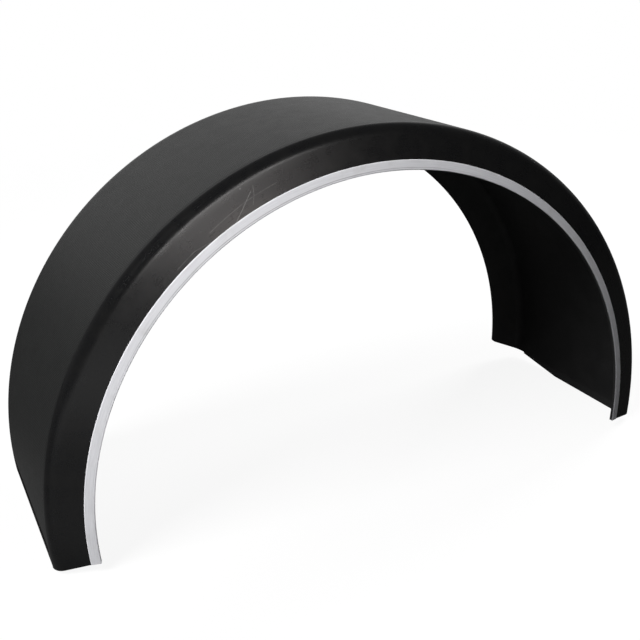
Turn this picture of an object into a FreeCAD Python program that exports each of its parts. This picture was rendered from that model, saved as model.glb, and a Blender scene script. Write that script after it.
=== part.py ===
import FreeCAD, Part
import math
import os

# Arched wheel mudguard: a thin black shell bent over the wheel, with a flared skirt
# along each side, a short turned-in lip at the foot of each leg and a pale trim
# strip lying on the front skirt along its free edge.
# X runs along the wheel's travel, Y from the front (outer) skirt to the rear one, Z up.
# The arch axis is parallel to Y. All sizes are in millimetres, angles in degrees.

# Shell section
OUTER_RADIUS = 360.0
SHEET = 3.0
PANEL_HALF_WIDTH = 115.0
SKIRT_FLARE = 19.0
BEND_RADIUS = 15.0
FRONT_EDGE_RADIUS = 316.7
REAR_EDGE_RADIUS = 319.0

# Leg ends: how far the arch runs on below its own axis, and how far the front skirt's foot
# runs below that cut. The rear skirt's foot rises above the cut towards the free edge and
# ends in a rounded corner, both as a share of the rear skirt's depth.
END_DROP = 5.2
FRONT_FOOT_DROP = 3.5
FRONT_EDGE_DROP = 0.5
REAR_RISE_SHARE = 0.31
REAR_CORNER_SHARE = 0.18

# Lip at the foot of each leg
LIP_REACH = 9.0
LIP_TURN_IN = 15.5
LIP_FRONT_HALF = 106.0
LIP_REAR_HALF = 100.0
LIP_TAPER_FROM = 25.0
LIP_TAPER_REACH = 1.6
LIP_CORNER = 6.0

# Trim strip on the front skirt
STRIP_WIDTH = 10.2
STRIP_THICKNESS = 1.2
STRIP_EDGE_GAP = 0.3
STRIP_OVERRUN = 1.0
STRIP_EDGE_ROUND = 0.4

ORIGIN = FreeCAD.Vector(0, 0, 0)
ARCH_AXIS = FreeCAD.Vector(0, 1, 0)
HALF_TURN = 180.0
RIGHT_ANGLE = 90.0


def sine(angle):
    return math.sin(math.radians(angle))


def cosine(angle):
    return math.cos(math.radians(angle))


def tangent(angle):
    return math.tan(math.radians(angle))


def section_point(reach, radius, side):
    """A point of the section: reach is its distance from the middle, side -1 in front and 1 at the rear."""
    return FreeCAD.Vector(radius, side * reach, 0)


def skirt_point(distance, depth, side):
    """A point on the skirt: distance down from the sharp shoulder, depth under the outer face."""
    reach = PANEL_HALF_WIDTH + distance * sine(SKIRT_FLARE) - depth * cosine(SKIRT_FLARE)
    radius = OUTER_RADIUS - distance * cosine(SKIRT_FLARE) - depth * sine(SKIRT_FLARE)
    return section_point(reach, radius, side)


def bend_setback():
    """Distance from the sharp shoulder to where the bend begins, on panel and skirt alike."""
    return BEND_RADIUS * tangent((RIGHT_ANGLE - SKIRT_FLARE) / 2)


def skirt_length(edge_radius):
    """Distance down the outer face from the sharp shoulder to a free edge at this radius."""
    return (OUTER_RADIUS - edge_radius) / cosine(SKIRT_FLARE)


def side_points(edge_radius, side):
    """The points of one half of the section, outer face first, then the inner face."""
    turn = RIGHT_ANGLE - SKIRT_FLARE
    setback = bend_setback()
    centre_reach = PANEL_HALF_WIDTH - setback
    centre_radius = OUTER_RADIUS - BEND_RADIUS
    middle = RIGHT_ANGLE - turn / 2
    free = skirt_length(edge_radius)
    points = {}
    for name, depth in (("outer", 0.0), ("inner", SHEET)):
        bend = BEND_RADIUS - depth
        points[name] = {
            "panel": section_point(centre_reach, OUTER_RADIUS - depth, side),
            "bend": section_point(centre_reach + bend * cosine(middle), centre_radius + bend * sine(middle), side),
            "skirt": skirt_point(setback, depth, side),
            "free": skirt_point(free, depth, side),
        }
    return points


def line(start, end):
    return Part.LineSegment(start, end).toShape()


def arc(start, middle, end):
    return Part.Arc(start, middle, end).toShape()


def turned(face, drop):
    """Turns a section about the arch axis from one leg end over the top to the other."""
    start = face.copy()
    start.rotate(ORIGIN, ARCH_AXIS, drop)
    return start.revolve(ORIGIN, -ARCH_AXIS, HALF_TURN + 2 * drop)


def arch():
    """The bent sheet: panel, two shoulders and two skirts."""
    front = side_points(FRONT_EDGE_RADIUS, -1)
    rear = side_points(REAR_EDGE_RADIUS, 1)
    edges = []
    for side in (front, rear):
        for face in ("outer", "inner"):
            points = side[face]
            edges.append(arc(points["panel"], points["bend"], points["skirt"]))
            edges.append(line(points["skirt"], points["free"]))
        edges.append(line(side["outer"]["free"], side["inner"]["free"]))
    for face in ("outer", "inner"):
        edges.append(line(front[face]["panel"], rear[face]["panel"]))
    wire = Part.Wire(Part.__sortEdges__(edges))
    run_on = math.degrees(2 * FRONT_FOOT_DROP / OUTER_RADIUS)
    return turned(Part.Face(wire), END_DROP + run_on)


def right_leg():
    """Directions at the right leg's cut: away from the arch axis, and on down the leg."""
    outward = FreeCAD.Vector(cosine(END_DROP), 0, -sine(END_DROP))
    along = FreeCAD.Vector(-sine(END_DROP), 0, -cosine(END_DROP))
    return outward, along


def foot_point(radius, rise):
    """A point at the right leg's foot: radius from the arch axis, rise above the panel's cut."""
    outward, along = right_leg()
    return outward * radius - along * rise


def lip():
    """The turned-in lip under the right leg, its face against the panel's cut end."""
    outward, along = right_leg()
    way = along * cosine(LIP_TURN_IN) - outward * sine(LIP_TURN_IN)
    thick = outward * cosine(LIP_TURN_IN) + along * sine(LIP_TURN_IN)
    outer_top = outward * OUTER_RADIUS
    inner_top = outward * (OUTER_RADIUS - SHEET)
    inner_end = inner_top + way * LIP_REACH
    outer_line = inner_top + thick * SHEET
    outer_end = outer_line + way * ((inner_end.z - outer_line.z) / way.z)
    corners = [outer_top, inner_top, inner_end, outer_end, outer_top]
    profile = Part.Face(Part.makePolygon(corners))
    profile.translate(-ARCH_AXIS * LIP_FRONT_HALF)
    blank = profile.extrude(ARCH_AXIS * (LIP_FRONT_HALF + LIP_REAR_HALF))
    return blank.cut(lip_trim(inner_top, way, thick))


def lip_trim(top, way, thick):
    """What is taken off the blank lip: the long taper at the rear and the front corner."""
    taper = [(LIP_REACH, LIP_TAPER_FROM), (LIP_TAPER_REACH, LIP_REAR_HALF)]
    chamfer = [(LIP_REACH - LIP_CORNER, -LIP_FRONT_HALF), (LIP_REACH, LIP_CORNER - LIP_FRONT_HALF)]
    trims = []
    for start, end in (taper, chamfer):
        rise = end[0] - start[0]
        run = end[1] - start[1]
        outline = [
            (start[0] - rise, start[1] - run),
            (end[0] + rise, end[1] + run),
            (end[0] + rise + 2 * LIP_REACH, end[1] + run),
            (start[0] - rise + 2 * LIP_REACH, start[1] - run),
        ]
        corners = [top + way * reach + ARCH_AXIS * y - thick * SHEET for reach, y in outline]
        corners.append(corners[0])
        trims.append(Part.Face(Part.makePolygon(corners)).extrude(thick * (3 * SHEET)))
    return trims


def between(outline, start, end):
    """The closed outline's face at the foot, drawn out from one place across the guard to another."""
    face = Part.Face(Part.Wire(Part.__sortEdges__(outline)))
    face.translate(ARCH_AXIS * start)
    return face.extrude(ARCH_AXIS * (end - start))


def ring(points):
    return [line(a, b) for a, b in zip(points, points[1:] + points[:1])]


def foot_cutters():
    """What is taken off below the right leg's feet: under the front skirt, the panel and the rear skirt."""
    deep = -4 * FRONT_FOOT_DROP
    outside = OUTER_RADIUS + BEND_RADIUS
    inside = FRONT_EDGE_RADIUS - 3 * BEND_RADIUS
    panel_end = OUTER_RADIUS - SHEET
    bend_at = PANEL_HALF_WIDTH - bend_setback()
    far = 2 * PANEL_HALF_WIDTH
    front = [
        foot_point(outside, -FRONT_FOOT_DROP),
        foot_point(panel_end, -FRONT_FOOT_DROP),
        foot_point(FRONT_EDGE_RADIUS - SHEET, -FRONT_EDGE_DROP),
        foot_point(inside, -FRONT_EDGE_DROP),
        foot_point(inside, deep),
        foot_point(outside, deep),
    ]
    panel = [foot_point(outside, 0), foot_point(inside, 0), foot_point(inside, deep), foot_point(outside, deep)]
    return [
        between(ring(front), -far, -bend_at),
        between(ring(panel), -bend_at, bend_at),
        between(rear_outline(panel_end, inside, outside, deep), bend_at, far),
    ]


def rear_outline(panel_end, inside, outside, deep):
    """Outline of the rear cutter: it rises from the panel's cut to the free edge and ends in a rounded corner."""
    free = REAR_EDGE_RADIUS - SHEET * sine(SKIRT_FLARE)
    depth = panel_end - free
    rise = REAR_RISE_SHARE * depth
    corner = REAR_CORNER_SHARE * depth
    slant = math.degrees(math.atan(REAR_RISE_SHARE))
    reach = corner * tangent((RIGHT_ANGLE - slant) / 2)
    half = slant + (RIGHT_ANGLE - slant) / 2
    top = rise + reach
    on_slant = foot_point(free + reach * cosine(slant), rise - reach * sine(slant))
    middle = foot_point(free + corner * (1 - sine(half)), top - corner * cosine(half))
    on_edge = foot_point(free, top)
    corners = [
        on_edge,
        foot_point(inside, top),
        foot_point(inside, deep),
        foot_point(outside, deep),
        foot_point(outside, 0),
        foot_point(panel_end, 0),
        on_slant,
    ]
    return [line(a, b) for a, b in zip(corners, corners[1:])] + [arc(on_slant, middle, on_edge)]


def mirrored(shape):
    """The same piece at the left leg."""
    return shape.mirror(ORIGIN, FreeCAD.Vector(1, 0, 0))


def guard_shell():
    cutters = foot_cutters()
    shell = arch().cut(cutters + [mirrored(cutter) for cutter in cutters])
    right_lip = lip()
    shell = shell.fuse([right_lip, mirrored(right_lip)]).removeSplitter()
    return max(shell.Solids, key=lambda solid: solid.Volume)


def edge_strip():
    """The pale strip: a thin flat band with eased outer corners, following the front skirt's edge."""
    free = skirt_length(FRONT_EDGE_RADIUS)
    low = free - STRIP_EDGE_GAP
    high = low - STRIP_WIDTH
    face_depth = -STRIP_THICKNESS
    ease_depth = STRIP_EDGE_ROUND - STRIP_THICKNESS
    corners = [
        skirt_point(high, 0.0, -1),
        skirt_point(high, ease_depth, -1),
        skirt_point(high + STRIP_EDGE_ROUND, face_depth, -1),
        skirt_point(low - STRIP_EDGE_ROUND, face_depth, -1),
        skirt_point(low, ease_depth, -1),
        skirt_point(low, 0.0, -1),
    ]
    corners.append(corners[0])
    overrun = math.degrees(STRIP_OVERRUN / FRONT_EDGE_RADIUS)
    return turned(Part.Face(Part.makePolygon(corners)), END_DROP + overrun)


def main():
    os.makedirs("parts", exist_ok=True)
    nodes = {"guard_shell": guard_shell(), "edge_strip": edge_strip()}
    box = FreeCAD.BoundBox()
    for shape in nodes.values():
        box.add(shape.optimalBoundingBox(False))
    shift = FreeCAD.Vector(-box.Center.x, -box.Center.y, -box.ZMin)
    for name, shape in nodes.items():
        shape.translate(shift)
        shape.exportStep("parts/" + name + ".step")


main()
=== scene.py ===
import math
from collections import namedtuple

import bmesh
import bpy
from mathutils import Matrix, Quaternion, Vector


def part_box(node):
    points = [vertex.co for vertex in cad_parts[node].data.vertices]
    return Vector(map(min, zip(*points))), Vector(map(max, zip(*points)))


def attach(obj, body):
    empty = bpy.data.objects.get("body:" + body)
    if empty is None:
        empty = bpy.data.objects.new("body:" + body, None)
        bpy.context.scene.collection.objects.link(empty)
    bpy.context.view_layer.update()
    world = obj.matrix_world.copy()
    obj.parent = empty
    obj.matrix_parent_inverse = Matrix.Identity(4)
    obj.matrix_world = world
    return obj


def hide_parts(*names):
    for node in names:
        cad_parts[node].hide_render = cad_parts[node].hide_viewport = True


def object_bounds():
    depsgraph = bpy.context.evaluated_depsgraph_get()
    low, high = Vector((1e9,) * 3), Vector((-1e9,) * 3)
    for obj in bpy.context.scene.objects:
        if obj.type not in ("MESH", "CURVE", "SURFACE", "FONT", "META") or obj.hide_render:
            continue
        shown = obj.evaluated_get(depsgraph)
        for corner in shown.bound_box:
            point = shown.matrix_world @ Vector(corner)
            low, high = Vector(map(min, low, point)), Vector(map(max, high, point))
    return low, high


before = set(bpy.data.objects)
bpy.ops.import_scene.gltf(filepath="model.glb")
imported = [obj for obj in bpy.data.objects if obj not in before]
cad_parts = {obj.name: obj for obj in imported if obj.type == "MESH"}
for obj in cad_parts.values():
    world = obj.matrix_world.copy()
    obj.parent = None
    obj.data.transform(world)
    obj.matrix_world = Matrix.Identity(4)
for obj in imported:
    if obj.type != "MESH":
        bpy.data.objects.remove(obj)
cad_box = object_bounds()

# Sizes of the guard in metres and degrees, as the construction has them
OUTER_RADIUS = 0.360
SHEET = 0.003
PANEL_HALF_WIDTH = 0.115
SKIRT_FLARE = 19.0
BEND_RADIUS = 0.015
FRONT_EDGE_RADIUS = 0.3167
REAR_EDGE_RADIUS = 0.319
END_DROP = 5.2
FRONT_FOOT_DROP = 0.0035
FRONT_EDGE_DROP = 0.0005
REAR_RISE_SHARE = 0.31
REAR_CORNER_SHARE = 0.18
LIP_REACH = 0.009
LIP_TURN_IN = 15.5
LIP_FRONT_HALF = 0.106
LIP_REAR_HALF = 0.100
LIP_TAPER_FROM = 0.025
LIP_TAPER_REACH = 0.0016
LIP_CORNER = 0.006
STRIP_WIDTH = 0.0102
STRIP_OVERRUN = 0.001
STRIP_EDGE_ROUND = 0.0004

# Finer shapes that the solids leave out: eased edges, a plain band above each foot, and a strip
# that reaches just past the sheet's edge, with a shallow line along it
SHEET_EDGE_ROUND = 0.0006
SHEET_EDGE_SEGMENTS = 2
SHEET_EDGE_ANGLE = 50.0
FOOT_BAND = 0.020
STRIP_HEIGHT = 0.0009
STRIP_OVERHANG = 0.0002
STRIP_EASE = 0.0001
STRIP_FLAT_FROM = 0.0012
STRIP_LINE_FROM_EDGE = 0.0021
STRIP_LINE_WIDTH = 0.0008
STRIP_LINE_DEPTH = 0.0001

# Mesh fineness: rows are shares of the arch's length
ARCH_STEPS = 180
END_ROWS = (0.0009, 0.0027)
FOOT_ROWS = 4
BEND_COLUMNS = 14
PANEL_COLUMN = 0.008
SKIRT_COLUMNS = 8
CORNER_COLUMNS = 8
QUAD = 4

# Sizes that follow from these
FLARE = math.radians(SKIRT_FLARE)
DROP = math.radians(END_DROP)
BEND_TURN = math.pi / 2 - FLARE
BEND_SETBACK = BEND_RADIUS * math.tan(BEND_TURN / 2)
BEND_LENGTH = BEND_RADIUS * BEND_TURN
PANEL_FLAT_HALF = PANEL_HALF_WIDTH - BEND_SETBACK
PANEL_END = OUTER_RADIUS - SHEET
AXIS_HEIGHT = cad_box[1][2] - OUTER_RADIUS
REAR_REACH = PANEL_HALF_WIDTH + (OUTER_RADIUS - REAR_EDGE_RADIUS) * math.tan(FLARE)
AXIS_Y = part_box("guard_shell")[1].y - REAR_REACH
ARCH_DEGREE = math.radians(1) * OUTER_RADIUS
BAND_STEP = FOOT_BAND / ((math.pi + 2 * DROP) * OUTER_RADIUS)
END_STEPS = [*END_ROWS, BAND_STEP]
EVEN_STEPS = [i / ARCH_STEPS for i in range(ARCH_STEPS + 1)]
ARCH_ROWS = sorted(EVEN_STEPS + END_STEPS + [1 - step for step in END_STEPS])
LAST_ROW = len(ARCH_ROWS) - 1
BAND_ROWS = ARCH_ROWS.index(BAND_STEP)


# Shape of the arch

def arch_point(radius, y, angle):
    """A point at this radius from the arch axis. Angle 0 is the right side and pi the left."""
    return Vector((radius * math.cos(angle), AXIS_Y + y, AXIS_HEIGHT + radius * math.sin(angle)))


def skirt_length(edge_radius):
    """Length of a skirt from the sharp shoulder to its free edge."""
    return (OUTER_RADIUS - edge_radius) / math.cos(FLARE)


def skirt_at(distance, depth):
    """Reach from the middle, and radius, this far down the skirt and this deep under its face."""
    reach = PANEL_HALF_WIDTH + distance * math.sin(FLARE) - depth * math.cos(FLARE)
    radius = OUTER_RADIUS - distance * math.cos(FLARE) - depth * math.sin(FLARE)
    return reach, radius


# One line of the sheet along the arch: its outer and inner place (y, radius) in the section,
# its distance across the unrolled sheet, and whether it is in the front, the panel or the rear
Column = namedtuple("Column", "outer inner across zone")


def skirt_columns(edge_radius, side, zone):
    """Columns from the free edge up to the bend, closer together near the rear's rounded corners."""
    free = skirt_length(edge_radius)
    span = free - BEND_SETBACK
    corner = REAR_CORNER_SHARE * (OUTER_RADIUS - edge_radius) if zone == "rear" else 0.0
    heights = []
    if corner:
        turns = [math.pi / 2 * i / CORNER_COLUMNS for i in range(CORNER_COLUMNS)]
        heights = [corner * (1 - math.cos(turn)) for turn in turns]
    heights += [corner + (span - corner) * i / SKIRT_COLUMNS for i in range(SKIRT_COLUMNS)]
    columns = []
    for height in heights:
        places = []
        for depth in (0.0, SHEET):
            reach, radius = skirt_at(free - height, depth)
            places.append((side * reach, radius))
        across = PANEL_FLAT_HALF + BEND_LENGTH + span - height
        columns.append(Column(places[0], places[1], side * across, zone))
    return columns


def bend_columns(side, zone):
    """Columns round the shoulder, from the skirt up to the panel."""
    columns = []
    for i in range(BEND_COLUMNS):
        turn = FLARE + BEND_TURN * i / BEND_COLUMNS
        places = []
        for depth in (0.0, SHEET):
            bend = BEND_RADIUS - depth
            reach = PANEL_FLAT_HALF + bend * math.cos(turn)
            radius = OUTER_RADIUS - BEND_RADIUS + bend * math.sin(turn)
            places.append((side * reach, radius))
        across = PANEL_FLAT_HALF + BEND_LENGTH * (1 - i / BEND_COLUMNS)
        columns.append(Column(places[0], places[1], side * across, zone))
    return columns


def panel_columns():
    """Columns across the panel, with one at each corner of the lip."""
    lip_full = LIP_CORNER - LIP_FRONT_HALF
    stops = [-PANEL_FLAT_HALF, lip_full, LIP_TAPER_FROM, LIP_REAR_HALF, PANEL_FLAT_HALF]
    places = []
    for start, end in zip(stops, stops[1:]):
        steps = max(1, round((end - start) / PANEL_COLUMN))
        places += [start + (end - start) * i / steps for i in range(steps)]
    places.append(stops[-1])
    return [Column((y, OUTER_RADIUS), (y, PANEL_END), y, "panel") for y in places]


def shell_columns():
    """All columns, from the front skirt's free edge over the panel to the rear skirt's."""
    front = skirt_columns(FRONT_EDGE_RADIUS, -1, "front") + bend_columns(-1, "front")
    rear = skirt_columns(REAR_EDGE_RADIUS, 1, "rear") + bend_columns(1, "rear")
    return front + panel_columns() + rear[::-1]


# Shape of the feet

def lip_reach(y):
    """How far the panel's lip reaches below its cut end at this place across the panel."""
    if y > LIP_REAR_HALF:
        return 0.0
    taper = (LIP_REACH - LIP_TAPER_REACH) / (LIP_REAR_HALF - LIP_TAPER_FROM)
    front = LIP_REACH - LIP_CORNER + y + LIP_FRONT_HALF
    rear = LIP_REACH - taper * (y - LIP_TAPER_FROM)
    return min(LIP_REACH, front, rear)


def front_drop(radius):
    """How far the front skirt's foot runs below the panel's cut."""
    free = FRONT_EDGE_RADIUS - SHEET
    share = min(1.0, (radius - free) / (PANEL_END - free))
    return FRONT_EDGE_DROP + (FRONT_FOOT_DROP - FRONT_EDGE_DROP) * share


def rear_rise(radius):
    """How far the rear skirt's foot stays above the panel's cut, with its rounded free corner."""
    free = REAR_EDGE_RADIUS - SHEET * math.sin(FLARE)
    depth = PANEL_END - free
    corner = REAR_CORNER_SHARE * depth
    slope = math.hypot(1.0, REAR_RISE_SHARE)
    across = max(0.0, radius - free)
    if across < corner * (1 - REAR_RISE_SHARE / slope):
        top = REAR_RISE_SHARE * depth + corner * (slope - REAR_RISE_SHARE)
        return top - math.sqrt(max(0.0, corner ** 2 - (corner - across) ** 2))
    return max(0.0, REAR_RISE_SHARE * (PANEL_END - radius))


def has_foot(column):
    """Whether this column runs on below the panel's cut."""
    return column.zone == "front" or (column.zone == "panel" and column.across <= LIP_REAR_HALF)


def foot_point(column, inner, share, side):
    """A point below the cut, at this share of the foot's depth; side 1 is the right leg, -1 the left."""
    outward = Vector((math.cos(DROP), 0, -math.sin(DROP)))
    along = Vector((-math.sin(DROP), 0, -math.cos(DROP)))
    y, radius = column.inner if inner else column.outer
    if column.zone == "front":
        point = outward * radius + along * (front_drop(radius) * share)
    else:
        turn = math.radians(LIP_TURN_IN)
        way = along * math.cos(turn) - outward * math.sin(turn)
        thick = outward * math.cos(turn) + along * math.sin(turn)
        reach = lip_reach(y)
        end = outward * PANEL_END + way * reach
        if not inner:
            level = LIP_REACH - SHEET * thick.z / way.z
            end = outward * PANEL_END + thick * SHEET + way * min(reach, level)
        point = (outward * radius).lerp(end, share)
    return Vector((side * point.x, AXIS_Y + y, AXIS_HEIGHT + point.z))


def row_angle(column, row, radius):
    """Angle of an arch row; a rear column ends where its foot is cut."""
    drop = DROP - (rear_rise(radius) / radius if column.zone == "rear" else 0.0)
    return -drop + (math.pi + 2 * drop) * ARCH_ROWS[row]


def shell_rows(column):
    """Row numbers of a column: the arch's, and the feet's before and after them."""
    extra = FOOT_ROWS if has_foot(column) else 0
    return range(-extra, LAST_ROW + extra + 1)


def shell_point(column, row, inner):
    """The place of one corner of the sheet's mesh."""
    y, radius = column.inner if inner else column.outer
    if 0 <= row <= LAST_ROW:
        return arch_point(radius, y, row_angle(column, row, radius))
    if row < 0:
        return foot_point(column, inner, -row / FOOT_ROWS, 1)
    return foot_point(column, inner, (row - LAST_ROW) / FOOT_ROWS, -1)


def along_arch(column, row):
    """Distance along the arch at its outer radius, which carries on down the feet."""
    angle = row_angle(column, min(max(row, 0), LAST_ROW), column.outer[1])
    beyond = min(row, 0) + max(row - LAST_ROW, 0)
    return angle * OUTER_RADIUS + LIP_REACH * beyond / FOOT_ROWS


# Mesh building

# Places of the shell's materials in its list
ON_PANEL = 0
ON_SKIRT = 1
INSIDE = 2
ON_FOOT = 3


def new_object(name, fill, materials):
    """A smooth mesh object from a function that fills a bmesh, with sharp edges round any end cap."""
    bm = bmesh.new()
    fill(bm)
    bmesh.ops.recalc_face_normals(bm, faces=bm.faces)
    for face in bm.faces:
        face.smooth = True
        if len(face.verts) > QUAD:
            for edge in face.edges:
                edge.smooth = False
    mesh = bpy.data.meshes.new(name)
    bm.to_mesh(mesh)
    bm.free()
    for material in materials:
        mesh.materials.append(material)
    obj = bpy.data.objects.new(name, mesh)
    bpy.context.scene.collection.objects.link(obj)
    return obj


def set_surface(bm, layer, place):
    """Store each corner's place on the unrolled surface."""
    for face in bm.faces:
        for loop in face.loops:
            loop[layer].uv = place[loop.vert]


def face_material(first, second, row, inner):
    """Which of the shell's materials a face takes, between two columns at this row."""
    if inner:
        return INSIDE
    if not first.zone == second.zone == "panel":
        return ON_SKIRT
    return ON_PANEL if BAND_ROWS <= row < LAST_ROW - BAND_ROWS else ON_FOOT


def fill_shell(bm):
    """Outer face, inner face and the sheet's cut edges between them."""
    columns = shell_columns()
    layer = bm.loops.layers.uv.new("surface")
    place = {}
    sheets = []
    for inner in (False, True):
        verts = {}
        for c, column in enumerate(columns):
            for row in shell_rows(column):
                vert = bm.verts.new(shell_point(column, row, inner))
                place[vert] = (along_arch(column, row), column.across)
                verts[c, row] = vert
        sheets.append(verts)
    rims = {}
    for inner, verts in enumerate(sheets):
        for c, row in list(verts):
            corners = [(c, row), (c + 1, row), (c + 1, row + 1), (c, row + 1)]
            if not all(corner in verts for corner in corners):
                continue
            face = bm.faces.new([verts[corner] for corner in corners])
            face.material_index = face_material(columns[c], columns[c + 1], row, inner)
            if not inner:
                for a, b in zip(corners, corners[1:] + corners[:1]):
                    key = frozenset((a, b))
                    rims[key] = None if key in rims else (a, b)
    for rim in rims.values():
        if rim is not None:
            a, b = rim
            face = bm.faces.new([sheets[0][b], sheets[0][a], sheets[1][a], sheets[1][b]])
            face.material_index = INSIDE
    set_surface(bm, layer, place)


def strip_low():
    """Distance down the skirt to the strip's lower edge."""
    return skirt_length(FRONT_EDGE_RADIUS) + STRIP_OVERHANG


def strip_section():
    """The strip's outline: distance down the skirt and height over it, with its shallow line."""
    low = strip_low()
    high = low - STRIP_WIDTH
    top = STRIP_HEIGHT
    line = low - STRIP_LINE_FROM_EDGE
    half_line = STRIP_LINE_WIDTH / 2
    return [
        (high, 0.0),
        (high, top - STRIP_EDGE_ROUND),
        (high + STRIP_EDGE_ROUND, top),
        (high + STRIP_FLAT_FROM, top),
        (line - STRIP_LINE_WIDTH, top),
        (line - half_line, top),
        (line, top - STRIP_LINE_DEPTH),
        (line + half_line, top),
        (low - STRIP_EASE, top),
        (low, top - STRIP_EASE),
        (low, 0.0),
    ]


def fill_strip(bm):
    """The strip's section swept along the front skirt."""
    layer = bm.loops.layers.uv.new("surface")
    section = strip_section()
    drop = DROP + STRIP_OVERRUN / FRONT_EDGE_RADIUS
    place = {}
    rows = []
    for step in range(ARCH_STEPS + 1):
        angle = -drop + (math.pi + 2 * drop) * step / ARCH_STEPS
        verts = []
        for distance, height in section:
            reach, radius = skirt_at(distance, -height)
            vert = bm.verts.new(arch_point(radius, -reach, angle))
            place[vert] = (angle * OUTER_RADIUS, distance)
            verts.append(vert)
        rows.append(verts)
    for lower, upper in zip(rows, rows[1:]):
        for i in range(len(section)):
            j = (i + 1) % len(section)
            bm.faces.new([lower[i], lower[j], upper[j], upper[i]])
    bm.faces.new(rows[0])
    bm.faces.new(rows[-1][::-1])
    set_surface(bm, layer, place)


# Materials

# Sockets of the mix node when it mixes colours: its factor and two colours, and its result
MIX_INPUTS = (0, 6, 7)
MIX_OUTPUT = 2


class Nodes:
    """Short ways to add and link shader nodes in one material or world."""

    def __init__(self, owner):
        owner.use_nodes = True
        self.tree = owner.node_tree
        self.tree.nodes.clear()

    def feed(self, socket, value):
        if isinstance(value, bpy.types.NodeSocket):
            self.tree.links.new(value, socket)
        else:
            socket.default_value = value

    def add(self, kind, inputs=None, **settings):
        node = self.tree.nodes.new(kind)
        for name, value in settings.items():
            setattr(node, name, value)
        for key, value in (inputs or {}).items():
            self.feed(node.inputs[key], value)
        return node

    def math(self, operation, *values):
        node = self.add("ShaderNodeMath", operation=operation)
        for socket, value in zip(node.inputs, values):
            self.feed(socket, value)
        return node.outputs[0]

    def vector(self, operation, *values):
        node = self.add("ShaderNodeVectorMath", operation=operation)
        for socket, value in zip(node.inputs, values):
            self.feed(socket, value)
        return node.outputs

    def ramp(self, value, low, high, start=0.0, end=1.0):
        """Smooth step of a value, from start at low to end at high."""
        inputs = {"Value": value, "From Min": low, "From Max": high, "To Min": start, "To Max": end}
        return self.add("ShaderNodeMapRange", inputs, interpolation_type="SMOOTHSTEP").outputs["Result"]

    def noise(self, place, scale, detail=3.0, roughness=0.55):
        inputs = {"Vector": place, "Scale": scale, "Detail": detail, "Roughness": roughness}
        return self.add("ShaderNodeTexNoise", inputs).outputs["Fac"]

    def blend(self, factor, first, second):
        """Mix of two colours."""
        node = self.add("ShaderNodeMix", data_type="RGBA")
        for index, value in zip(MIX_INPUTS, (factor, first, second)):
            self.feed(node.inputs[index], value)
        return node.outputs[MIX_OUTPUT]

    def bump(self, height, strength, distance, normal=None):
        node = self.add("ShaderNodeBump", {"Height": height, "Strength": strength, "Distance": distance})
        if normal is not None:
            self.feed(node.inputs["Normal"], normal)
        return node.outputs["Normal"]

    def surface(self):
        """The place on the unrolled surface in metres: along the arch, then across it."""
        return self.add("ShaderNodeUVMap", uv_map="surface").outputs["UV"]

    def parts(self, place):
        """The X, Y and Z of a vector, by name."""
        return self.add("ShaderNodeSeparateXYZ", {"Vector": place}).outputs

    def drawn(self, place, stretch):
        """A place whose first direction is shrunk, so that a noise on it is drawn out that way."""
        parts = self.parts(place)
        inputs = {"X": self.math("MULTIPLY", parts["X"], stretch), "Y": parts["Y"]}
        return self.add("ShaderNodeCombineXYZ", inputs).outputs["Vector"]

    def finish(self, **inputs):
        """The Principled shader and the output."""
        shader = self.add("ShaderNodeBsdfPrincipled")
        for name, value in inputs.items():
            self.feed(shader.inputs[name.replace("_", " ")], value)
        self.add("ShaderNodeOutputMaterial", {"Surface": shader.outputs["BSDF"]})


# In the looks below a noise is its scale per metre, detail and roughness, a bump is its strength
# and depth in metres, and a range is the values from and to which something changes, followed by
# what it changes from and to where that isn't 0 and 1

# Panel: embossed diagonal weave, a little dusty
PANEL_BLACK = (0.0134, 0.0137, 0.0136, 1)
PANEL_DUST = (0.0154, 0.0158, 0.0155, 1)
PANEL_GLOSS = 0.20
GRAIN_PITCH = 0.0028
GRAIN_BUMP = (0.25, 0.0006)
GRAIN_FADE = 0.004
WEAVE_SHARE = 0.5
WEAVE_ROUGH = (-0.2, 1.0, 0.42, 0.34)
GRIT_NOISE = (1100.0, 2.0)
DUST_NOISE = (45.0, 6.0, 0.65)
DUST_RANGE = (0.3, 0.7)
DUST_ROUGH = (0.2, 0.8, -0.03, 0.03)
PANEL_WAVE_NOISE = (9.0, 1.0)
PANEL_WAVE_BUMP = (0.05, 0.004)

# Shoulders and skirts: smooth satin, with handling marks and a painted warm reflection on the front
# skirt
SKIRT_BLACK = (0.0058, 0.0059, 0.0063, 1)
SKIRT_WORN = (0.0077, 0.0076, 0.0076, 1)
# Colour of the painted warm reflection on the front skirt
SKIRT_PAINTED_REFLECTION = (0.0300, 0.0275, 0.0260, 1)
SKIRT_GLOSS = 0.35
WEAR_NOISE = (55.0, 5.0, 0.65)
WEAR_RANGE = (0.35, 0.75)
WEAR_ROUGH = (0.2, 0.8, 0.25, 0.33)
SKIRT_STRETCH = 0.02
SKIRT_STREAK_NOISE = (900.0, 3.0)
SKIRT_STREAK_ROUGH = (0.3, 0.7, -0.012, 0.012)
SKIN_NOISE = (900.0, 2.0)
SKIN_BUMP = (0.12, 0.0001)
SKIRT_WAVE_NOISE = (12.0, 1.0)
SKIRT_WAVE_BUMP = (0.05, 0.003)

# Painted warm reflection on the front skirt, above the strip: its middle as (degrees round the arch,
# metres down the skirt from the sharp shoulder), its half lengths, and how it fades out and is streaked
REFLECTION_PATCH_AT = (116.5, 0.0360)
REFLECTION_PATCH_HALF = (0.065, 0.016)
REFLECTION_PATCH_FADE = (0.1, 1.0, 1.0, 0.0)
REFLECTION_PATCH_STREAKS = (0.25, 0.6, 0.5, 1.0)
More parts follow.
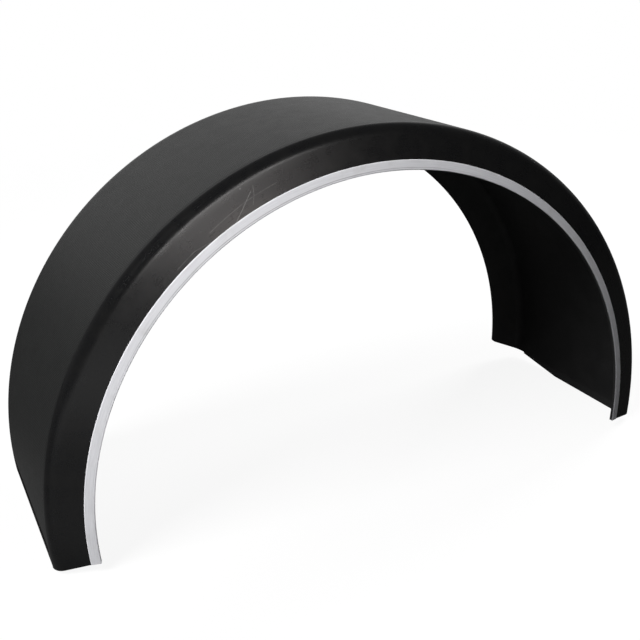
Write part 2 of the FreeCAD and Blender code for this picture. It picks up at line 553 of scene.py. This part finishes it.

# Scratches on the front skirt: strength, width in metres, then places as for the painted reflection
SCRATCHES = [
    (0.26, 0.0008, [(122.7, 0.0282), (116.1, 0.0251), (113.7, 0.0245), (109.4, 0.0239)]),
    (0.80, 0.0005, [(118.2, 0.0352), (116.3, 0.0292), (113.7, 0.0195)]),
    (0.42, 0.0005, [(112.9, 0.0157), (113.5, 0.0239), (114.4, 0.0307)]),
    (0.30, 0.0006, [(130.4, 0.0321), (126.6, 0.0315), (123.5, 0.0353)]),
    (0.80, 0.0012, [(114.9, 0.0120), (114.8, 0.0121)]),
]
SCRATCH_GREY = (0.24, 0.235, 0.23, 1)
SCRATCH_ROUGH = 0.2
SCRATCH_BREAK_NOISE = (420.0, 2.0)
SCRATCH_BREAKS = (0.35, 0.6, 0.35, 1.0)

# Plain plastic: the inside with the sheet's cut edges, and the matt band at the feet
FILM_RANGE = (0.3, 0.7)
PlainLook = namedtuple("PlainLook", "black film film_noise skin_noise skin_bump rough gloss")
INNER_LOOK = PlainLook(
    black=(0.0125, 0.0125, 0.0128, 1),
    film=(0.0170, 0.0170, 0.0171, 1),
    film_noise=(30.0, 4.0),
    skin_noise=(700.0, 2.0),
    skin_bump=(0.25, 0.00015),
    rough=(0.2, 0.8, 0.48, 0.58),
    gloss=0.3,
)
FOOT_LOOK = PlainLook(
    black=(0.0120, 0.0120, 0.0121, 1),
    film=(0.0160, 0.0160, 0.0160, 1),
    film_noise=(60.0, 4.0),
    skin_noise=(900.0, 2.0),
    skin_bump=(0.2, 0.0001),
    rough=(0.2, 0.8, 0.6, 0.7),
    gloss=0.0,
)

# Trim strip: the painted shade in its line and on its lower edge changes with the degrees round the arch
STRIP_PALE = (0.78, 0.78, 0.81, 1)
STRIP_GREY = (0.70, 0.70, 0.73, 1)
STRIP_SOIL = (0.52, 0.51, 0.50, 1)
# Colour of the painted shade in the strip's line and on its lower edge
STRIP_PAINTED_SHADE = (0.10, 0.10, 0.105, 1)
STRIP_GLOSS = 0.40
STRIP_STRETCH = 0.03
STRIP_STREAK_NOISE = (1300.0, 3.0)
STRIP_STREAK_RANGE = (0.3, 0.7)
STRIP_STREAK_BUMP = (0.12, 0.0001)
SOIL_NOISE = (40.0, 5.0, 0.6)
SOIL_RANGE = (0.52, 0.8, 0.0, 0.4)
SOIL_ROUGH = (0.2, 0.8, 0.36, 0.48)
# Painted shade in the strip's line: its strength, half widths, and the degrees over which it fades
LINE_PAINTED_SHADE = 0.4
LINE_SHADE_HALF = (0.00024, 0.00064)
LINE_SHADE_LEFT = (160.0, 130.0, 0.1, 1.0)
LINE_SHADE_RIGHT = (60.0, 100.0)
# Painted shade on the strip's lower edge towards the right leg: its width, and the degrees over which it
# grows
EDGE_SHADE_WIDTH = 0.0002
EDGE_SHADE_LEG = (70.0, 30.0, 0.0, 0.9)


def on_skirt(degrees, distance):
    """The unrolled place of a point on the front skirt."""
    across = PANEL_FLAT_HALF + BEND_LENGTH + distance - BEND_SETBACK
    return degrees * ARCH_DEGREE, -across, 0.0


def scratch_mask(n, uv):
    """How scratched the surface is: near 1 on a line, 0 away from all of them."""
    total = None
    for strength, width, places in SCRATCHES:
        points = [Vector(on_skirt(*place)) for place in places]
        for start, end in zip(points, points[1:]):
            run = end - start
            offset = n.vector("SUBTRACT", uv, start[:])["Vector"]
            share = n.vector("DOT_PRODUCT", offset, (run / run.length_squared)[:])["Value"]
            held = n.add("ShaderNodeClamp", {"Value": share}).outputs["Result"]
            foot = n.add("ShaderNodeVectorMath", {0: run[:], "Scale": held}, operation="SCALE")
            away = n.vector("DISTANCE", offset, foot.outputs["Vector"])["Value"]
            line = n.ramp(away, 0.0, width, strength, 0.0)
            total = line if total is None else n.math("MAXIMUM", total, line)
    broken = n.ramp(n.noise(uv, *SCRATCH_BREAK_NOISE), *SCRATCH_BREAKS)
    return n.math("MULTIPLY", total, broken)


def painted_reflection_mask(n, uv):
    """A soft oval that is 1 at the middle of the painted warm reflection."""
    offset = n.vector("SUBTRACT", uv, on_skirt(*REFLECTION_PATCH_AT))["Vector"]
    scaled = n.vector("DIVIDE", offset, (*REFLECTION_PATCH_HALF, 1.0))["Vector"]
    return n.ramp(n.vector("LENGTH", scaled)["Value"], *REFLECTION_PATCH_FADE)


def panel_plastic():
    """Black plastic with an embossed diagonal grain that fades out at the shoulders."""
    material = bpy.data.materials.new("guard_panel")
    n = Nodes(material)
    uv = n.surface()
    parts = n.parts(uv)
    along = parts["X"]
    across = parts["Y"]
    edge = n.math("ABSOLUTE", across)
    grained = n.ramp(edge, PANEL_FLAT_HALF - GRAIN_FADE, PANEL_FLAT_HALF, 1.0, 0.0)
    turn = math.sqrt(2) * math.pi / GRAIN_PITCH
    first = n.math("SINE", n.math("MULTIPLY", n.math("ADD", along, across), turn))
    second = n.math("SINE", n.math("MULTIPLY", n.math("SUBTRACT", along, across), turn))
    weave = n.math("MAXIMUM", first, second)
    grit = n.noise(uv, *GRIT_NOISE)
    relief = n.math("MULTIPLY", n.math("MULTIPLY_ADD", weave, WEAVE_SHARE, grit), grained)
    grain = n.bump(relief, *GRAIN_BUMP)
    normal = n.bump(n.noise(uv, *PANEL_WAVE_NOISE), *PANEL_WAVE_BUMP, grain)
    dust = n.noise(uv, *DUST_NOISE)
    colour = n.blend(n.ramp(dust, *DUST_RANGE), PANEL_BLACK, PANEL_DUST)
    rough = n.math("ADD", n.ramp(weave, *WEAVE_ROUGH), n.ramp(dust, *DUST_ROUGH))
    n.finish(Base_Color=colour, Roughness=rough, Normal=normal, Specular_IOR_Level=PANEL_GLOSS)
    return material


def skirt_plastic():
    """Smooth satin plastic with faint wear, a few scratches and a painted warm reflection on the front
    skirt.
    """
    material = bpy.data.materials.new("guard_skirt")
    n = Nodes(material)
    uv = n.surface()
    wear = n.noise(uv, *WEAR_NOISE)
    streaks = n.noise(n.drawn(uv, SKIRT_STRETCH), *SKIRT_STREAK_NOISE)
    scratched = scratch_mask(n, uv)
    # Painted warm reflection: a streaked soft oval on the front skirt, mixed into the colour
    painted_reflection = n.math("MULTIPLY", painted_reflection_mask(n, uv), n.ramp(streaks, *REFLECTION_PATCH_STREAKS))
    colour = n.blend(n.ramp(wear, *WEAR_RANGE), SKIRT_BLACK, SKIRT_WORN)
    colour = n.blend(painted_reflection, colour, SKIRT_PAINTED_REFLECTION)
    colour = n.blend(scratched, colour, SCRATCH_GREY)
    rough = n.math("ADD", n.ramp(wear, *WEAR_ROUGH), n.ramp(streaks, *SKIRT_STREAK_ROUGH))
    rough = n.math("MULTIPLY_ADD", scratched, SCRATCH_ROUGH, rough)
    skin = n.bump(n.noise(uv, *SKIN_NOISE), *SKIN_BUMP)
    normal = n.bump(n.noise(uv, *SKIRT_WAVE_NOISE), *SKIRT_WAVE_BUMP, skin)
    n.finish(Base_Color=colour, Roughness=rough, Normal=normal, Specular_IOR_Level=SKIRT_GLOSS)
    return material


def plain_plastic(name, look):
    """Plain black plastic with a faint film and a fine skin."""
    material = bpy.data.materials.new(name)
    n = Nodes(material)
    uv = n.surface()
    film = n.noise(uv, *look.film_noise)
    colour = n.blend(n.ramp(film, *FILM_RANGE), look.black, look.film)
    normal = n.bump(n.noise(uv, *look.skin_noise), *look.skin_bump)
    rough = n.ramp(film, *look.rough)
    n.finish(Base_Color=colour, Roughness=rough, Normal=normal, Specular_IOR_Level=look.gloss)
    return material


def strip_painted_shade(n, uv):
    """How much painted shade the strip has, in its line and on its lower edge."""
    parts = n.parts(uv)
    degrees = n.math("DIVIDE", parts["X"], ARCH_DEGREE)
    low = strip_low()
    off_line = n.math("ABSOLUTE", n.math("SUBTRACT", parts["Y"], low - STRIP_LINE_FROM_EDGE))
    # Painted shade in the shallow line, strongest between about 100 and 130 degrees round the arch
    in_line = n.ramp(off_line, *LINE_SHADE_HALF, 1.0, 0.0)
    top = n.math("MULTIPLY", n.ramp(degrees, *LINE_SHADE_LEFT), n.ramp(degrees, *LINE_SHADE_RIGHT))
    line = n.math("MULTIPLY", in_line, n.math("MULTIPLY", top, LINE_PAINTED_SHADE))
    # Painted shade on the strip's lower edge, growing towards the right leg
    on_edge = n.ramp(parts["Y"], low - EDGE_SHADE_WIDTH, low)
    edge = n.math("MULTIPLY", on_edge, n.ramp(degrees, *EDGE_SHADE_LEG))
    return n.math("MAXIMUM", line, edge)


def strip_plastic():
    """Pale grey trim with faint streaks along its length, and painted shade in its line and on its edge.
    """
    material = bpy.data.materials.new("edge_strip")
    n = Nodes(material)
    uv = n.surface()
    streaks = n.noise(n.drawn(uv, STRIP_STRETCH), *STRIP_STREAK_NOISE)
    soil = n.noise(uv, *SOIL_NOISE)
    colour = n.blend(n.ramp(streaks, *STRIP_STREAK_RANGE), STRIP_GREY, STRIP_PALE)
    colour = n.blend(n.ramp(soil, *SOIL_RANGE), colour, STRIP_SOIL)
    # Painted shade in the line and on the lower edge, mixed into the colour
    colour = n.blend(strip_painted_shade(n, uv), colour, STRIP_PAINTED_SHADE)
    normal = n.bump(streaks, *STRIP_STREAK_BUMP)
    rough = n.ramp(soil, *SOIL_ROUGH)
    n.finish(Base_Color=colour, Roughness=rough, Normal=normal, Specular_IOR_Level=STRIP_GLOSS)
    return material


# Stage, light and camera

WHITE = (1, 1, 1, 1)

# Floor: its colours, and how white it is to the camera by distance from the origin
FLOOR_HALF = 20.0
FLOOR_PALE = (0.9, 0.9, 0.9, 1)
FLOOR_MIRRORED = (0.03, 0.03, 0.03, 1)
FLOOR_BOUNCE_LEFT = (0.25, 0.25, 0.25, 1)
FLOOR_BOUNCE_RIGHT = (0.04, 0.04, 0.04, 1)
FLOOR_BOUNCE_X = (0.1, 0.42)
FLOOR_WHITE = (0.6, 2.2, 0.90, 1.0)

# How white the floor is in the guard's gloss: everywhere, ahead to the left, and near the left leg
FLOOR_GLOSS = 0.01
FLOOR_AHEAD_X = (0.3, -0.1)
FLOOR_AHEAD_Y = (-0.1, -0.2)
FLOOR_AHEAD = (-0.55, -1.25, 0.17, 1.0)
FLOOR_NEAR_AT = (-0.2, -0.08, 0.0)
FLOOR_NEAR = (0.2, 0.45, 0.085, 0.0)

# Room: a dim fill, and a backdrop low behind the guard that is brightest a little to the right
WORLD_FILL = 0.05
WORLD_BACK = 0.55
BACKDROP_Y = (-0.1, 0.7)
BACKDROP_Z = (0.25, 0.75, 1.0, 0.0)
BACKDROP_LEFT_X = (-0.55, 0.05, 0.08, 0.60)
BACKDROP_RIGHT_X = (0.5, 0.85, 1.0, 0.3)

# Softboxes: broad lamps from the left and the far right, and two for the front skirt's sheen
LAMP_TARGET = (0.0, 0.0, 0.2)
LAMPS = [
    dict(name="window", place=(-1.97, -0.70, 2.20), size=(1.3, 1.3), power=116.0, glossy=False),
    dict(name="far_side", place=(2.47, 1.10, 1.27), size=(1.3, 1.3), power=115.0, glossy=False),
    dict(
        name="skirt_sheen",
        place=(0.08, -2.5, 0.98),
        size=(1.2, 0.75),
        power=4.2,
        colour=(1.0, 0.88, 0.86),
        diffuse=False,
    ),
    dict(
        name="shoulder_sheen",
        place=(-0.28, -2.25, 1.45),
        size=(1.6, 0.45),
        power=24.0,
        colour=(1.0, 0.98, 0.97),
        spin=36.0,
        diffuse=False,
    ),
]

# Camera: its turn in degrees, and its lens and sensor in millimetres
CAMERA_PLACE = (-0.4491, -0.9363, 0.5614)
CAMERA_TURN = (68.877, 1.569, -25.496)
CAMERA_LENS = 54.2
CAMERA_SENSOR = 36.0


def floor_material():
    """A pale floor that the camera sees nearly white, with the guard's shadow kept."""
    material = bpy.data.materials.new("floor")
    n = Nodes(material)
    rays = n.add("ShaderNodeLightPath").outputs
    direct = n.math("MAXIMUM", rays["Is Camera Ray"], rays["Is Transmission Ray"])
    place = n.add("ShaderNodeNewGeometry").outputs["Position"]
    parts = n.parts(place)
    ahead = n.math("MULTIPLY", n.ramp(parts["Y"], *FLOOR_AHEAD_Y), n.ramp(parts["X"], *FLOOR_AHEAD_X))
    share = n.math("MULTIPLY_ADD", ahead, n.ramp(parts["Y"], *FLOOR_AHEAD), FLOOR_GLOSS)
    near = n.ramp(n.vector("DISTANCE", place, FLOOR_NEAR_AT)["Value"], *FLOOR_NEAR)
    glossy = n.math("MULTIPLY", rays["Is Glossy Ray"], n.math("ADD", share, near))
    seen = n.ramp(n.vector("LENGTH", place)["Value"], *FLOOR_WHITE)
    white_share = n.math("MAXIMUM", n.math("MULTIPLY", direct, seen), glossy)
    bounce = n.blend(n.ramp(parts["X"], *FLOOR_BOUNCE_X), FLOOR_BOUNCE_LEFT, FLOOR_BOUNCE_RIGHT)
    bounced = n.blend(rays["Is Glossy Ray"], bounce, FLOOR_MIRRORED)
    lit = n.add("ShaderNodeBsdfDiffuse", {"Color": n.blend(direct, bounced, FLOOR_PALE)})
    white = n.add("ShaderNodeEmission", {"Color": WHITE, "Strength": 1.0})
    mix = n.add("ShaderNodeMixShader", {0: white_share, 1: lit.outputs[0], 2: white.outputs[0]})
    n.add("ShaderNodeOutputMaterial", {"Surface": mix.outputs[0]})
    return material


def make_floor():
    """One large square on the ground."""
    signs = [(-1, -1), (1, -1), (1, 1), (-1, 1)]
    corners = [(x * FLOOR_HALF, y * FLOOR_HALF, 0) for x, y in signs]
    mesh = bpy.data.meshes.new("floor")
    mesh.from_pydata(corners, [], [(0, 1, 2, 3)])
    mesh.materials.append(floor_material())
    floor = bpy.data.objects.new("floor", mesh)
    bpy.context.scene.collection.objects.link(floor)


def make_world():
    """A white backdrop behind the guard, with a dim room above and in front of it."""
    world = bpy.data.worlds.new("studio")
    bpy.context.scene.world = world
    n = Nodes(world)
    rays = n.add("ShaderNodeLightPath").outputs
    parts = n.parts(n.add("ShaderNodeTexCoord").outputs["Generated"])
    low_behind = n.math("MULTIPLY", n.ramp(parts["Y"], *BACKDROP_Y), n.ramp(parts["Z"], *BACKDROP_Z))
    left = n.ramp(parts["X"], *BACKDROP_LEFT_X)
    side = n.math("MULTIPLY", left, n.ramp(parts["X"], *BACKDROP_RIGHT_X))
    backdrop = n.math("MULTIPLY", low_behind, side)
    brightness = n.math("MAXIMUM", rays["Is Glossy Ray"], WORLD_BACK)
    level = n.math("MULTIPLY_ADD", backdrop, brightness, WORLD_FILL)
    direct = n.math("MAXIMUM", rays["Is Camera Ray"], rays["Is Transmission Ray"])
    strength = n.math("MAXIMUM", direct, level)
    background = n.add("ShaderNodeBackground", {"Color": WHITE, "Strength": strength})
    n.add("ShaderNodeOutputWorld", {"Surface": background.outputs[0]})


def area_light(name, place, size, power, colour=WHITE[:3], spin=0.0, diffuse=True, glossy=True):
    """A rectangular softbox that faces the guard, turned by spin degrees in its own plane."""
    lamp = bpy.data.lights.new(name, "AREA")
    lamp.shape = "RECTANGLE"
    lamp.size, lamp.size_y = size
    lamp.energy = power
    lamp.color = colour
    obj = bpy.data.objects.new(name, lamp)
    obj.location = place
    facing = (Vector(LAMP_TARGET) - Vector(place)).to_track_quat("-Z", "Y")
    obj.rotation_euler = (facing @ Quaternion((0, 0, 1), math.radians(spin))).to_euler()
    obj.visible_diffuse = diffuse
    obj.visible_glossy = glossy
    bpy.context.scene.collection.objects.link(obj)


def make_camera():
    """The camera at the photograph's viewing angle."""
    data = bpy.data.cameras.new("camera")
    data.lens = CAMERA_LENS
    data.sensor_width = CAMERA_SENSOR
    camera = bpy.data.objects.new("camera", data)
    camera.location = CAMERA_PLACE
    camera.rotation_euler = [math.radians(angle) for angle in CAMERA_TURN]
    bpy.context.scene.collection.objects.link(camera)
    bpy.context.scene.camera = camera


def make_guard():
    """The shell and the strip, each in the place of its node."""
    plastics = [
        panel_plastic(),
        skirt_plastic(),
        plain_plastic("guard_inner", INNER_LOOK),
        plain_plastic("guard_foot", FOOT_LOOK),
    ]
    shell = new_object("shell_skin", fill_shell, plastics)
    bevel = shell.modifiers.new("eased_edges", "BEVEL")
    bevel.width = SHEET_EDGE_ROUND
    bevel.segments = SHEET_EDGE_SEGMENTS
    bevel.limit_method = "ANGLE"
    bevel.angle_limit = math.radians(SHEET_EDGE_ANGLE)
    bevel.harden_normals = True
    strip = new_object("strip_band", fill_strip, [strip_plastic()])
    for piece, node in ((shell, "guard_shell"), (strip, "edge_strip")):
        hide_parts(node)
        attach(piece, "root")


make_guard()
make_floor()
make_world()
for settings in LAMPS:
    area_light(**settings)
make_camera()
bpy.context.scene.view_settings.view_transform = "Standard"
